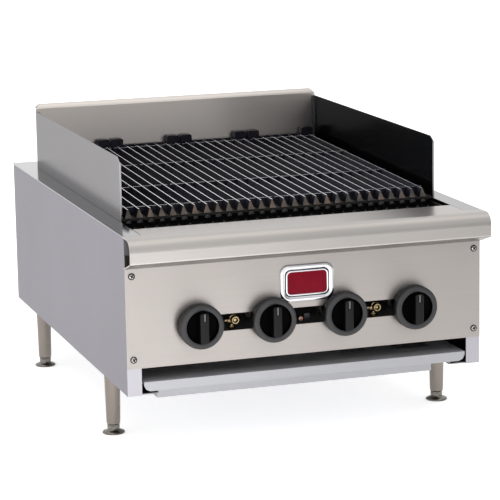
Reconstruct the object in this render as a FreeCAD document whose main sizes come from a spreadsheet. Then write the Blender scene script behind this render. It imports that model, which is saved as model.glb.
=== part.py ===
import FreeCAD, Part
import math
import os
import re
import Sketcher

# Countertop gas charbroiler, 24 inch class, with four burners.
#
# Sub-parts are drawn in cabinet coordinates: x from the middle, y back from the plane of
# the front flanges, z up from the underside of the cabinet. place() moves them to the
# part's own frame, with the origin on the bench under the middle of the cabinet.

DIMENSIONS = {
    # cabinet
    "body_width": 610,
    "body_depth": 800,
    "body_height": 261,
    "leg_height": 100,
    "gauge": 1.5,
    "front_flange": 24,
    "rear_flange": 20,
    "deck_overhang": 2,
    # control panel
    "panel_bottom": 45,
    "panel_top": 230,
    "panel_return": 12,
    "return_half": 280,
    "slot_height": 28,
    "slot_length": 392,
    "control_height": 108,
    "control_pitch": 122.8,
    # panel screws
    "screw_column": 294,
    "screw_low": 60,
    "screw_high": 196,
    "screw_head_radius": 4.8,
    "screw_head_depth": 2.5,
    "screw_radius": 2.4,
    "screw_length": 9,
    "screw_clearance": 0.1,
    # badge
    "badge_width": 92,
    "badge_tall": 61,
    "badge_middle": 163,
    "badge_depth": 3,
    "badge_corner": 14,
    "badge_border": 9,
    "badge_recess": 1,
    # bullnose and deck
    "nose_reach": 44,
    "nose_radius": 20,
    "nose_face_bottom": 222,
    "nose_return_bottom": 208,
    "nose_lip_radius": 4,
    "nose_clearance": 2,
    "opening_front": 54,
    "opening_half": 276,
    "opening_back": 722,
    "opening_hem": 20,
    "seam_gap": 0.5,
    # splash guards
    "guard_front": 124,
    "guard_height": 106,
    "guard_tuck": 21,
    "guard_corner_run": 15,
    "guard_corner_drop": 8.5,
    "guard_hem": 5,
    "corner_strip": 6,
    "back_height": 119,
    "roll_radius": 9,
    "back_shelf": 12,
    "back_lip": 8,
    "back_corner": 8,
    # firebox
    "wall_gauge": 2,
    "firebox_half": 273,
    "firebox_bottom": 65,
    "firebox_top": 256,
    "firebox_front": 80,
    "firebox_back": 718,
    "slope_bottom": 199,
    "slope_reach": 23.5,
    "ledge_width": 14,
    "ledge_top": 160,
    # grates
    "grate_front": 122,
    "grate_base": 266,
    "grate_length": 594,
    "grate_slope": 1.55,
    "section_pitch": 134.5,
    "section_middle": -4.5,
    "bar_pitch": 19,
    "bar_top": 3,
    "bar_foot": 11,
    "bar_height": 14,
    "bar_front_slope": 5,
    "rib_gauge": 4,
    "rib_drop": 1,
    "rib_half": 65,
    "rib_first": 28,
    "rib_second": 193,
    "rib_third": 388,
    "rib_fourth": 568,
    "lug_width": 22,
    "lug_depth": 14,
    "lug_rise": 13,
    "rest_front": 124,
    "rest_width": 26,
    "rest_top": 265.7,
    "rear_rest_front": 696,
    "rear_rest_top": 281.1,
    # radiants
    "radiant_half": 50,
    "radiant_rise": 40,
    "radiant_gauge": 5,
    "radiant_front": 81,
    "radiant_length": 636,
    # burners
    "burner_front": 50,
    "burner_length": 640,
    "burner_radius": 19,
    "burner_wall": 2,
    "mouth_radius": 20,
    "mouth_length": 12,
    "neck_radius": 13,
    "neck_start": 22,
    "neck_end": 40,
    "taper_end": 70,
    "port_length": 22,
    "port_width": 2,
    "port_first": 110,
    "port_run": 480,
    "burner_hole_radius": 20.5,
    "pin_radius": 4,
    "shutter_clearance": 0.06,
    "shutter_wall": 1.5,
    "shutter_length": 10,
    "shutter_window": 9,
    # gas train
    "manifold_depth": 23,
    "manifold_height": 66,
    "pipe_radius": 13.335,
    "pipe_bore": 10.5,
    "manifold_left": 250,
    "manifold_right": 268,
    "supply_column": 288,
    "elbow_radius": 15,
    "cap_radius": 16,
    "cap_length": 18,
    "pipe_hole_radius": 14.5,
    "coupling_length": 22,
    "coupling_margin": 6,
    "valve_half": 14,
    "valve_front": 8,
    "valve_back": 38,
    "bush_front": 1,
    "bush_radius": 9,
    "nipple_radius": 6,
    "nipple_end": 76.5,
    "spud_radius": 6,
    "spud_end": 48,
    "orifice_radius": 3,
    "orifice_end": 49.5,
    "thread_clearance": 0.05,
    "pilot_half": 11,
    "pilot_front": 10,
    "pilot_back": 28,
    "pilot_low": 97,
    "pilot_high": 117,
    "pilot_nipple_radius": 4,
    "pilot_tube_height": 107,
    "pilot_tube_radius": 2,
    "pilot_tube_end": 98,
    "pilot_burner_radius": 4.5,
    "pilot_burner_low": 95,
    "pilot_burner_high": 140,
    # knobs and stems
    "stem_radius": 4,
    "stem_front": 24,
    "stem_back": 20,
    "stem_clearance": 0.05,
    "knob_stand": 3.5,
    "knob_radius": 36.5,
    "knob_back_radius": 33,
    "skirt_taper": 4,
    "knob_side": 17,
    "knob_face": 20,
    "face_outer": 34,
    "face_inner": 27,
    "dish_radius": 26,
    "dish_floor": 11,
    "grip_half": 8,
    "grip_reach": 26,
    "grip_front": 32,
    "bore_depth": 20.5,
    # grease tray and its runners
    "pan_half": 241,
    "pan_front": 55,
    "pan_back": 730,
    "pan_bottom": -21,
    "tray_rim": 21.8,
    "rim_half": 278,
    "hem_bottom": 6,
    "hem_corner": 10,
    "runner_gauge": 2,
    "runner_inner": 252,
    "runner_flange": 281,
    "runner_height": 20,
    "runner_margin": 4,
    # legs and levelling feet
    "leg_column": 291,
    "leg_row": 248,
    "leg_top_radius": 13.5,
    "leg_foot_radius": 11.5,
    "leg_lower_end": 16,
    "leg_bore_depth": 38,
    "foot_radius": 19,
    "foot_rim": 3,
    "foot_neck_radius": 10,
    "foot_neck": 13,
    "foot_top": 15.7,
    "foot_stem_radius": 6,
    "foot_stem_top": 50,
    "foot_clearance": 0.06,
}

HALF_WIDTH = "body_width / 2"
INNER_HALF = "body_width / 2 - gauge"
UNDER_DECK = "body_height - gauge"
GUARD_TOP = "body_height + guard_height"
GUARD_BOTTOM = "body_height - guard_tuck"
PANEL_FACE = "-gauge"
CONTROL_COLUMNS = ("-1.5 * control_pitch", "-0.5 * control_pitch",
                   "0.5 * control_pitch", "1.5 * control_pitch")
PILOT_COLUMNS = ("-control_pitch", "control_pitch")
SECTION_COLUMNS = ("section_middle - 1.5 * section_pitch", "section_middle - 0.5 * section_pitch",
                   "section_middle + 0.5 * section_pitch", "section_middle + 1.5 * section_pitch")
SCREW_PLACES = (("-screw_column", "screw_low"), ("-screw_column", "screw_high"),
                ("screw_column", "screw_low"), ("screw_column", "screw_high"))
GRATE_BARS = 7
BURNER_PORTS = 25
TURN_X = FreeCAD.Vector(1, 0, 0)
TURN_Y = FreeCAD.Vector(0, 1, 0)
ALONG = {"x": FreeCAD.Rotation(TURN_Y, 90), "y": FreeCAD.Rotation(TURN_X, -90), "z": FreeCAD.Rotation()}
FORWARDS = FreeCAD.Rotation(TURN_X, 90)
BACKWARDS = FreeCAD.Rotation(TURN_X, -90)

doc = FreeCAD.newDocument("charbroiler")
sub_parts = []


# ---------------------------------------------------------------- sheet and expressions

def make_sheet():
    """Write every driving dimension in a cell of its own, with its name as alias."""
    sheet = doc.addObject("Spreadsheet::Sheet", "dims")
    for row, (name, value) in enumerate(DIMENSIONS.items(), start=1):
        sheet.set(f"A{row}", name)
        sheet.set(f"B{row}", str(value))
        sheet.setAlias(f"B{row}", name)
    doc.recompute()


def bound(text):
    """The expression that reads the named dimensions of text from the sheet."""
    def cell(word):
        name = word.group()
        return f"dims.{name}" if name in DIMENSIONS else name
    return re.sub(r"[a-z_]+", cell, text)


def place(item, x="0", y="0", z="0", turn=FreeCAD.Rotation()):
    """Put an item at a point of the cabinet, in the part's own frame."""
    item.Placement = FreeCAD.Placement(FreeCAD.Vector(), turn)
    item.setExpression("Placement.Base.x", bound(x))
    item.setExpression("Placement.Base.y", bound(f"({y}) - body_depth / 2"))
    item.setExpression("Placement.Base.z", bound(f"({z}) + leg_height"))


def keep(label, item, **where):
    """Name a finished sub-part, place it and list it for export."""
    item.Label = label
    place(item, **where)
    sub_parts.append(item)


# ---------------------------------------------------------------- blocks and rods

def box(x_span, y_span, z_span):
    """A block between three pairs of expressions."""
    block = doc.addObject("Part::Box", "Block")
    spans = (x_span, y_span, z_span)
    for size, axis, (low, high) in zip(("Length", "Width", "Height"), "xyz", spans):
        block.setExpression(size, bound(f"({high}) - ({low})"))
        block.setExpression(f"Placement.Base.{axis}", bound(low))
    return block


def rod(axis, start, length, radius):
    """A cylinder that runs from a start point in the positive direction of an axis."""
    bar = doc.addObject("Part::Cylinder", "Rod")
    bar.Placement = FreeCAD.Placement(FreeCAD.Vector(), ALONG[axis])
    bar.setExpression("Radius", bound(radius))
    bar.setExpression("Height", bound(length))
    for name, value in zip("xyz", start):
        bar.setExpression(f"Placement.Base.{name}", bound(value))
    return bar


def ball(centre, radius):
    """A sphere round a point."""
    sphere = doc.addObject("Part::Sphere", "Ball")
    sphere.setExpression("Radius", bound(radius))
    for name, value in zip("xyz", centre):
        sphere.setExpression(f"Placement.Base.{name}", bound(value))
    return sphere


def join(*solids):
    """One solid from several that touch or overlap."""
    union = doc.addObject("Part::MultiFuse", "Union")
    union.Shapes = list(solids)
    union.Refine = True
    return union


def group(*solids):
    """Several separate solids in one sub-part."""
    compound = doc.addObject("Part::Compound", "Group")
    compound.Links = list(solids)
    return compound


def remove(base, *tools):
    """A solid less each of the tools."""
    result = base
    for tool in tools:
        difference = doc.addObject("Part::Cut", "Difference")
        difference.Base = result
        difference.Tool = tool
        difference.Refine = True
        result = difference
    return result


def mirrored(span, side):
    """A span of x on the right of the cabinet, or its mirror image on the left."""
    low, high = span
    return span if side > 0 else (f"-({high})", f"-({low})")


# ---------------------------------------------------------------- bodies and sketches

def new_body():
    """An empty PartDesign body."""
    return doc.addObject("PartDesign::Body", "Body")


def new_sketch(body, plane, at):
    """An empty sketch on a plane of the body, moved to a coordinate of the plane's axis."""
    sketch = body.newObject("Sketcher::SketchObject", "Sketch")
    support = [item for item in body.Origin.OriginFeatures if item.Role == plane][0]
    sketch.AttachmentSupport = (support, [""])
    sketch.MapMode = "FlatFace"
    # the normal of the XZ plane points to the front
    offset = f"-({at})" if plane == "XZ_Plane" else at
    sketch.setExpression("AttachmentOffset.Base.z", bound(offset))
    return sketch


def pin_point(sketch, line, point, place_of_point):
    """Hold a point of the sketch at a pair of expressions from the sketch's origin."""
    for kind, value in zip(("DistanceX", "DistanceY"), place_of_point):
        rule = Sketcher.Constraint(kind, -1, 1, line, point, 1.0)
        row = sketch.addConstraint(rule)
        sketch.setExpression(f"Constraints[{row}]", bound(value))


def draw_loop(sketch, corners):
    """A closed loop of lines through corners, each a pair of expressions."""
    first = sketch.GeometryCount
    count = len(corners)
    # a regular polygon is the start that the constraints then move
    start = []
    for step in range(count):
        angle = 2 * math.pi * step / count
        start.append(FreeCAD.Vector(math.cos(angle), math.sin(angle), 0))
    for step in range(count):
        sketch.addGeometry(Part.LineSegment(start[step], start[(step + 1) % count]))
    for step in range(count):
        follower = first + (step + 1) % count
        sketch.addConstraint(Sketcher.Constraint("Coincident", first + step, 2, follower, 1))
    for step, corner in enumerate(corners):
        pin_point(sketch, first + step, 1, corner)


def draw_circle(sketch, centre, radius):
    """A circle round a pair of expressions."""
    line = sketch.addGeometry(Part.Circle(FreeCAD.Vector(), FreeCAD.Vector(0, 0, 1), 1.0))
    pin_point(sketch, line, 3, centre)
    row = sketch.addConstraint(Sketcher.Constraint("Radius", line, 1.0))
    sketch.setExpression(f"Constraints[{row}]", bound(radius))


def rectangle(u_span, v_span):
    """The corners of a rectangle in sketch coordinates."""
    u_low, u_high = u_span
    v_low, v_high = v_span
    return [(u_low, v_low), (u_high, v_low), (u_high, v_high), (u_low, v_high)]


def add_feature(body, kind, sketch):
    """A feature of a body from a sketch, made the tip of the body."""
    feature = body.newObject(f"PartDesign::{kind}", kind)
    feature.Profile = sketch
    body.Tip = feature
    return feature


def pad(body, plane, span, loops):
    """Pad loops of corners over a span of the plane's axis."""
    low, high = span
    sketch = new_sketch(body, plane, high if plane == "XZ_Plane" else low)
    for corners in loops:
        draw_loop(sketch, corners)
    feature = add_feature(body, "Pad", sketch)
    feature.setExpression("Length", bound(f"({high}) - ({low})"))
    return feature


def pocket(body, plane, at, depth, loops=(), circles=()):
    """Cut loops and circles against the normal of a sketch that lies outside the solid."""
    sketch = new_sketch(body, plane, at)
    for corners in loops:
        draw_loop(sketch, corners)
    for centre, radius in circles:
        draw_circle(sketch, centre, radius)
    feature = add_feature(body, "Pocket", sketch)
    feature.setExpression("Length", bound(depth))
    return feature


def revolve(body, corners):
    """Turn an outline of (radius, height) pairs about the body's own z axis."""
    sketch = new_sketch(body, "XZ_Plane", "0")
    draw_loop(sketch, corners)
    feature = add_feature(body, "Revolution", sketch)
    feature.ReferenceAxis = (sketch, ["V_Axis"])
    feature.Angle = 360
    return feature


def repeat(body, feature, axis, run, count):
    """Repeat a feature along an axis of its sketch."""
    pattern = body.newObject("PartDesign::LinearPattern", "Pattern")
    pattern.Originals = [feature]
    pattern.Direction = (feature.Profile[0], [axis])
    pattern.setExpression("Length", bound(run))
    pattern.Occurrences = count
    body.Tip = pattern
    return pattern


def cell_value(name):
    """The number in a cell of the sheet."""
    return float(DIMENSIONS[name])


def round_edges(body, radius, test):
    """Fillet the edges of the body's tip whose two ends both pass a test."""
    doc.recompute()
    base = body.Tip
    names = []
    for index, edge in enumerate(base.Shape.Edges, start=1):
        ends = [vertex.Point for vertex in edge.Vertexes]
        if len(ends) == 2 and test(*ends):
            names.append(f"Edge{index}")
    fillet = body.newObject("PartDesign::Fillet", "Fillet")
    fillet.Base = (base, names)
    fillet.setExpression("Radius", bound(radius))
    body.Tip = fillet
    return fillet


def along_x_at(y, z):
    """A test for edges parallel to x through a point of the cross-section."""
    def test(start, end):
        same = abs(start.y - end.y) < 0.01 and abs(start.z - end.z) < 0.01
        return same and abs(start.y - y) < 0.01 and abs(start.z - z) < 0.01
    return test


# ---------------------------------------------------------------- cabinet

def make_side_panels():
    """Left and right sheets, each with a front and a rear flange turned inwards."""
    for side, name in ((-1, "left_side_panel"), (1, "right_side_panel")):
        skin = box(mirrored((INNER_HALF, HALF_WIDTH), side), ("0", "body_depth - gauge"), ("0", UNDER_DECK))
        front = box(mirrored((f"{HALF_WIDTH} - front_flange", INNER_HALF), side), ("0", "gauge"),
                    ("0", UNDER_DECK))
        rear = box(mirrored((f"{HALF_WIDTH} - rear_flange", INNER_HALF), side),
                   ("body_depth - 2 * gauge", "body_depth - gauge"), ("0", UNDER_DECK))
        panel = join(skin, front, rear)
        for x, z in SCREW_PLACES:
            if (side < 0) == x.startswith("-"):
                hole = rod("y", (x, "-gauge", z), "4 * gauge", "screw_radius + screw_clearance")
                panel = remove(panel, hole)
        if side > 0:
            panel = remove(panel, supply_hole())
        keep(name, panel)


def supply_hole():
    """The hole for the gas supply pipe through the back of the cabinet."""
    return rod("y", ("supply_column", "body_depth - 4 * gauge", "manifold_height"), "6 * gauge",
               "pipe_hole_radius")


def make_rear_panel():
    """The sheet that closes the back, with the hole for the gas supply."""
    sheet = box((f"-{HALF_WIDTH}", HALF_WIDTH), ("body_depth - gauge", "body_depth"), ("0", UNDER_DECK))
    keep("rear_panel", remove(sheet, supply_hole()))


def make_control_panel():
    """The front sheet, with a slot behind the knobs and returns along its long edges."""
    body = new_body()
    pad(body, "XZ_Plane", (PANEL_FACE, "0"),
        [rectangle((f"-{HALF_WIDTH}", HALF_WIDTH), ("panel_bottom", "panel_top"))])
    for low in ("panel_bottom", "panel_top - gauge"):
        pad(body, "XZ_Plane", ("0", "panel_return"),
            [rectangle(("-return_half", "return_half"), (low, f"{low} + gauge"))])
    slot = rectangle(("-slot_length / 2", "slot_length / 2"),
                     ("control_height - slot_height / 2", "control_height + slot_height / 2"))
    holes = [(spot, "screw_radius + screw_clearance") for spot in SCREW_PLACES]
    pocket(body, "XZ_Plane", "-2 * gauge", "4 * gauge", loops=[slot], circles=holes)
    keep("control_panel", body)


def make_panel_screws():
    """Four pan-head screws that hold the control panel to the front flanges."""
    screws = []
    for x, z in SCREW_PLACES:
        head = rod("y", (x, "-gauge - screw_head_depth", z), "screw_head_depth", "screw_head_radius")
        shank = rod("y", (x, "-gauge - screw_head_depth / 2", z), "screw_length", "screw_radius")
        screws.append(join(head, shank))
    keep("control_panel_screws", group(*screws))


def make_badge():
    """A plain plate with rounded corners and a shallow blank field."""
    body = new_body()
    low = "badge_middle - badge_tall / 2"
    high = "badge_middle + badge_tall / 2"
    pad(body, "XZ_Plane", ("-gauge - badge_depth", "-gauge"),
        [rectangle(("-badge_width / 2", "badge_width / 2"), (low, high))])

    def across_the_plate(start, end):
        return abs(start.x - end.x) < 0.01 and abs(start.z - end.z) < 0.01
    round_edges(body, "badge_corner", across_the_plate)
    pocket(body, "XZ_Plane", "-gauge - badge_depth - badge_recess", "2 * badge_recess",
           loops=[rectangle(("-badge_width / 2 + badge_border", "badge_width / 2 - badge_border"),
                            (f"{low} + badge_border", f"{high} - badge_border"))])
    keep("badge_plate", body)


def make_bullnose():
    """The rolled front edge, with the strip of deck in front of the grates."""
    body = new_body()
    half = f"{HALF_WIDTH} + deck_overhang"
    outline = [
        ("opening_front", "body_height"),
        ("-nose_reach", "body_height"),
        ("-nose_reach", "nose_face_bottom"),
        ("-nose_clearance", "nose_return_bottom"),
        ("-nose_clearance", "nose_return_bottom + gauge"),
        ("-nose_reach + gauge", "nose_face_bottom + gauge"),
        ("-nose_reach + gauge", UNDER_DECK),
        ("opening_front - gauge", UNDER_DECK),
        ("opening_front - gauge", "body_height - opening_hem"),
        ("opening_front", "body_height - opening_hem"),
    ]
    pad(body, "YZ_Plane", (f"-({half})", half), [outline])
    reach = cell_value("nose_reach")
    gauge = cell_value("gauge")
    top = cell_value("body_height")
    face_bottom = cell_value("nose_face_bottom")
    round_edges(body, "nose_radius", along_x_at(-reach, top))
    round_edges(body, "nose_radius - gauge", along_x_at(-reach + gauge, top - gauge))
    round_edges(body, "nose_lip_radius", along_x_at(-reach, face_bottom))
    round_edges(body, "nose_lip_radius - gauge", along_x_at(-reach + gauge, face_bottom + gauge))
    corners = []
    for side in (-1, 1):
        span = mirrored(("opening_half - seam_gap", f"{half} + gauge"), side)
        corners.append(rectangle(span, ("0", "opening_front + gauge")))
    pocket(body, "XY_Plane", "body_height + gauge", "body_height", loops=corners)
    keep("bullnose", body)


def make_deck():
    """The flat top round the sides and back of the opening."""
    body = new_body()
    half = f"{HALF_WIDTH} + deck_overhang"
    inner = "opening_half + seam_gap / 2"
    back = "body_depth + deck_overhang"
    opening_end = "opening_back + 2 * gauge"
    outline = [
        (f"-({half})", "0"), (f"-({inner})", "0"), (f"-({inner})", opening_end), (inner, opening_end),
        (inner, "0"), (half, "0"), (half, back), (f"-({half})", back),
    ]
    pad(body, "XY_Plane", (UNDER_DECK, "body_height"), [outline])
    keep("deck_frame", body)


def make_splash_guards():
    """Two side guards with cut front corners, and a back guard with a rolled top."""
    for side, name in ((-1, "left_splash_guard"), (1, "right_splash_guard")):
        body = new_body()
        outline = [
            ("guard_front", GUARD_BOTTOM),
            ("opening_back", GUARD_BOTTOM),
            ("opening_back", GUARD_TOP),
            ("guard_front + guard_corner_run", GUARD_TOP),
            ("guard_front", f"{GUARD_TOP} - guard_corner_drop"),
        ]
        pad(body, "YZ_Plane", mirrored(("opening_half - gauge", "opening_half"), side), [outline])
        hem = rectangle(("guard_front", "guard_front + guard_hem"),
                        ("body_height", f"{GUARD_TOP} - guard_corner_drop"))
        pad(body, "YZ_Plane", mirrored(("opening_half - 2 * gauge", "opening_half - gauge"), side), [hem])
        strip = rectangle(("opening_back - gauge", "opening_back"), ("body_height", GUARD_TOP))
        span = mirrored(("opening_half - gauge - corner_strip", "opening_half - gauge"), side)
        pad(body, "YZ_Plane", span, [strip])
        keep(name, body)
    make_back_guard()


def make_back_guard():
    """The back guard, rolled to the back along its top, with cut upper corners."""
    body = new_body()
    top = "body_height + back_height"
    outline = [
        ("opening_back", GUARD_BOTTOM),
        ("opening_back + gauge", GUARD_BOTTOM),
        ("opening_back + gauge", f"{top} - gauge"),
        ("opening_back + back_shelf - gauge", f"{top} - gauge"),
        ("opening_back + back_shelf - gauge", f"{top} - back_lip"),
        ("opening_back + back_shelf", f"{top} - back_lip"),
        ("opening_back + back_shelf", top),
        ("opening_back", top),
    ]
    pad(body, "YZ_Plane", ("-opening_half", "opening_half"), [outline])
    plane = cell_value("opening_back")
    gauge = cell_value("gauge")
    ridge = cell_value("body_height") + cell_value("back_height")
    round_edges(body, "roll_radius", along_x_at(plane, ridge))
    round_edges(body, "roll_radius - gauge", along_x_at(plane + gauge, ridge - gauge))
    cuts = []
    for side in (-1, 1):
        sign = "-" if side < 0 else ""
        cuts.append([
            (f"{sign}(opening_half + gauge)", f"{top} - back_corner - gauge"),
            (f"{sign}(opening_half - back_corner - gauge)", f"{top} + gauge"),
            (f"{sign}(opening_half + gauge)", f"{top} + gauge"),
        ])
    pocket(body, "XZ_Plane", "opening_back - gauge", "back_shelf + 2 * gauge", loops=cuts)
    keep("back_splash_guard", body)


# ---------------------------------------------------------------- firebox

def make_firebox():
    """Four walls round the burners, open at the bottom so that grease drops in the tray."""
    inner = "firebox_half - wall_gauge"
    for side, name in ((-1, "firebox_left_wall"), (1, "firebox_right_wall")):
        body = new_body()
        wall = rectangle(("firebox_front", "firebox_back"), ("firebox_bottom", "firebox_top"))
        pad(body, "YZ_Plane", mirrored((inner, "firebox_half"), side), [wall])
        keep(name, body)
    make_firebox_front()
    make_firebox_rear()


def make_firebox_front():
    """The front wall leans forward above, has the burner holes, and carries the radiants."""
    body = new_body()
    face = "firebox_front - wall_gauge"
    outline = [
        (face, "firebox_bottom"),
        ("firebox_front", "firebox_bottom"),
        ("firebox_front", "slope_bottom"),
        ("firebox_front - slope_reach + wall_gauge", "firebox_top"),
        ("firebox_front - slope_reach - wall_gauge / 2", "firebox_top"),
        (face, "slope_bottom"),
    ]
    pad(body, "YZ_Plane", ("-firebox_half", "firebox_half"), [outline])
    ledge = rectangle(("firebox_front", "firebox_front + ledge_width"),
                      ("ledge_top - wall_gauge", "ledge_top"))
    pad(body, "YZ_Plane", ("wall_gauge - firebox_half", "firebox_half - wall_gauge"), [ledge])
    burner_holes = [((x, "control_height"), "burner_hole_radius") for x in CONTROL_COLUMNS]
    tube_holes = [((x, "pilot_tube_height"), "pilot_tube_radius + wall_gauge / 4") for x in PILOT_COLUMNS]
    pocket(body, "XZ_Plane", "firebox_front - 2 * wall_gauge", "3 * wall_gauge",
           circles=burner_holes + tube_holes)
    keep("firebox_front_wall", body)


def make_firebox_rear():
    """The rear wall carries the burner pins, the radiants and the backs of the grates."""
    body = new_body()
    back = "firebox_back + wall_gauge"
    outline = [
        ("firebox_back", "firebox_bottom"),
        (back, "firebox_bottom"),
        (back, "rear_rest_top"),
        ("rear_rest_front", "rear_rest_top"),
        ("rear_rest_front", "rear_rest_top - wall_gauge"),
        ("firebox_back", "rear_rest_top - wall_gauge"),
    ]
    pad(body, "YZ_Plane", ("-firebox_half", "firebox_half"), [outline])
    ledge = rectangle(("firebox_back - ledge_width", "firebox_back"),
                      ("ledge_top - wall_gauge", "ledge_top"))
    pad(body, "YZ_Plane", ("wall_gauge - firebox_half", "firebox_half - wall_gauge"), [ledge])
    pins = [((x, "control_height"), "pin_radius + thread_clearance") for x in CONTROL_COLUMNS]
    pocket(body, "XZ_Plane", "firebox_back - wall_gauge", "3 * wall_gauge", circles=pins)
    keep("firebox_rear_wall", body)


def make_front_grate_rest():
    """The angle bar between the side walls that carries the fronts of the grates."""
    span = ("wall_gauge - firebox_half", "firebox_half - wall_gauge")
    shelf = box(span, ("rest_front", "rest_front + rest_width"), ("rest_top - 2 * wall_gauge", "rest_top"))
    web = box(span, ("rest_front + rest_width - wall_gauge", "rest_front + rest_width"),
              ("rest_top - rest_width", "rest_top"))
    keep("front_grate_rest", join(shelf, web))


def make_grates():
    """Four cast sections, each of tapered bars, cross ribs and two upright rear lugs."""
    for number, column in enumerate(SECTION_COLUMNS, start=1):
        body = new_body()
        make_ribs(body)
        make_bars(body)
        make_lugs(body)
        body.setExpression("Placement.Rotation.Angle", bound("grate_slope"))
        slope = FreeCAD.Rotation(TURN_X, cell_value("grate_slope"))
        keep(f"grate_{number}", body, x=column, y="grate_front", z="grate_base", turn=slope)


def make_ribs(body):
    """Four cross ribs that tie the bars together."""
    for place_of_rib in ("rib_first", "rib_second", "rib_third", "rib_fourth"):
        pad(body, "XZ_Plane", (f"{place_of_rib} - rib_gauge / 2", f"{place_of_rib} + rib_gauge / 2"),
            [rectangle(("-rib_half", "rib_half"), ("bar_height / 3", "bar_height - rib_drop"))])


def make_bars(body):
    """Bars that are narrow on top and wide below, with sloped front ends."""
    first = f"-bar_pitch * {GRATE_BARS - 1} / 2"
    outline = [
        (f"{first} - bar_foot / 2", "0"),
        (f"{first} + bar_foot / 2", "0"),
        (f"{first} + bar_top / 2", "bar_height"),
        (f"{first} - bar_top / 2", "bar_height"),
    ]
    bar = pad(body, "XZ_Plane", ("0", "grate_length"), [outline])
    repeat(body, bar, "H_Axis", f"bar_pitch * {GRATE_BARS - 1}", GRATE_BARS)
    wedge = [("-bar_foot", "bar_height + rib_drop"), ("bar_front_slope", "bar_height + rib_drop"),
             ("0", "0"), ("-bar_foot", "0")]
    pocket(body, "YZ_Plane", "section_pitch", "2 * section_pitch", loops=[wedge])


def make_lugs(body):
    """Upright lugs at the two rear corners."""
    low = "bar_height / 3"
    high = "bar_height + lug_rise"
    spans = [("-rib_half", "lug_width - rib_half"), ("rib_half - lug_width", "rib_half")]
    pad(body, "XZ_Plane", ("grate_length - lug_depth", "grate_length"),
        [rectangle(span, (low, high)) for span in spans])


def make_radiants():
    """A cast tent over each burner."""
    for number, column in enumerate(CONTROL_COLUMNS, start=1):
        body = new_body()
        outline = [
            ("-radiant_half", "0"),
            ("0", "radiant_rise"),
            ("radiant_half", "0"),
            ("radiant_half - 1.4 * radiant_gauge", "0"),
            ("0", "radiant_rise - 1.2 * radiant_gauge"),
            ("1.4 * radiant_gauge - radiant_half", "0"),
        ]
        pad(body, "XZ_Plane", ("0", "radiant_length"), [outline])
        keep(f"radiant_{number}", body, x=column, y="radiant_front", z="ledge_top")


def make_burners():
    """Tube burners with a venturi at the front, slots on top and a pin at the back."""
    for number, column in enumerate(CONTROL_COLUMNS, start=1):
        body = new_body()
        end = "burner_length - burner_wall"
        revolve(body, [
            ("mouth_radius - burner_wall", "0"),
            ("mouth_radius", "0"),
            ("mouth_radius", "mouth_length"),
            ("neck_radius", "neck_start"),
            ("neck_radius", "neck_end"),
            ("burner_radius", "taper_end"),
            ("burner_radius", "burner_length"),
            ("pin_radius", "burner_length"),
            ("pin_radius", "firebox_back - burner_front + wall_gauge"),
            ("0", "firebox_back - burner_front + wall_gauge"),
            ("0", end),
            ("burner_radius - burner_wall", end),
            ("burner_radius - burner_wall", "taper_end"),
            ("neck_radius - burner_wall", "neck_end"),
            ("neck_radius - burner_wall", "neck_start"),
            ("mouth_radius - burner_wall", "mouth_length"),
        ])
        slot = rectangle(("-port_length / 2", "port_length / 2"),
                         ("port_first - port_width / 2", "port_first + port_width / 2"))
        port = pocket(body, "XZ_Plane", "-2 * burner_radius", "2 * burner_radius", loops=[slot])
        repeat(body, port, "V_Axis", "port_run", BURNER_PORTS)
        keep(f"burner_{number}", body, x=column, y="burner_front", z="control_height", turn=BACKWARDS)


def make_air_shutters():
    """A collar with two windows that turns on the mouth of each burner."""
    bore = "mouth_radius + shutter_clearance"
    for number, column in enumerate(CONTROL_COLUMNS, start=1):
        start = (column, "burner_front + burner_wall / 2", "control_height")
        collar = remove(rod("y", start, "shutter_length", f"{bore} + shutter_wall"),
                        rod("y", start, "shutter_length", bore))
        window = box((f"{column} - shutter_window / 2", f"{column} + shutter_window / 2"),
                     ("burner_front + burner_wall", "burner_front + shutter_length / 2"),
                     ("control_height - 2 * mouth_radius", "control_height + 2 * mouth_radius"))
        keep(f"air_shutter_{number}", remove(collar, window))


# ---------------------------------------------------------------- gas train

def make_manifold():
    """The pipe behind the control panel, capped on the left and tapped for each valve."""
    left = "-manifold_left"
    run = "manifold_left + manifold_right"
    start = (left, "manifold_depth", "manifold_height")
    pipe = join(rod("x", start, run, "pipe_radius"), rod("x", start, "cap_length", "cap_radius"))
    bore_start = ("-manifold_left + cap_length", "manifold_depth", "manifold_height")
    pipe = remove(pipe, rod("x", bore_start, run, "pipe_bore"))
    for column in CONTROL_COLUMNS:
        pipe = remove(pipe, rod("z", (column, "manifold_depth", "manifold_height"), "2 * pipe_radius",
                                "nipple_radius + thread_clearance"))
    for column in PILOT_COLUMNS:
        pipe = remove(pipe, rod("z", (column, "manifold_depth", "manifold_height"), "2 * pipe_radius",
                                "pilot_nipple_radius + thread_clearance"))
    keep("manifold", pipe)


def make_supply_pipe():
    """The elbow at the right, the pipe to the back, and its coupling at the rear panel."""
    corner = ("supply_column", "manifold_depth", "manifold_height")
    length = "body_depth + nose_reach - manifold_depth"
    inlet = ("manifold_right", "manifold_depth", "manifold_height")
    inlet_run = "supply_column - manifold_right"
    coupling_start = ("supply_column", "body_depth - coupling_margin - coupling_length", "manifold_height")
    pipe = join(
        ball(corner, "elbow_radius"),
        rod("x", inlet, inlet_run, "elbow_radius"),
        rod("y", corner, "1.5 * elbow_radius", "elbow_radius"),
        rod("y", corner, length, "pipe_radius"),
        rod("y", coupling_start, "coupling_length", "elbow_radius"),
    )
    bored = remove(pipe, rod("y", corner, length, "pipe_bore"), rod("x", inlet, inlet_run, "pipe_bore"))
    keep("gas_supply_pipe", bored)


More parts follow.
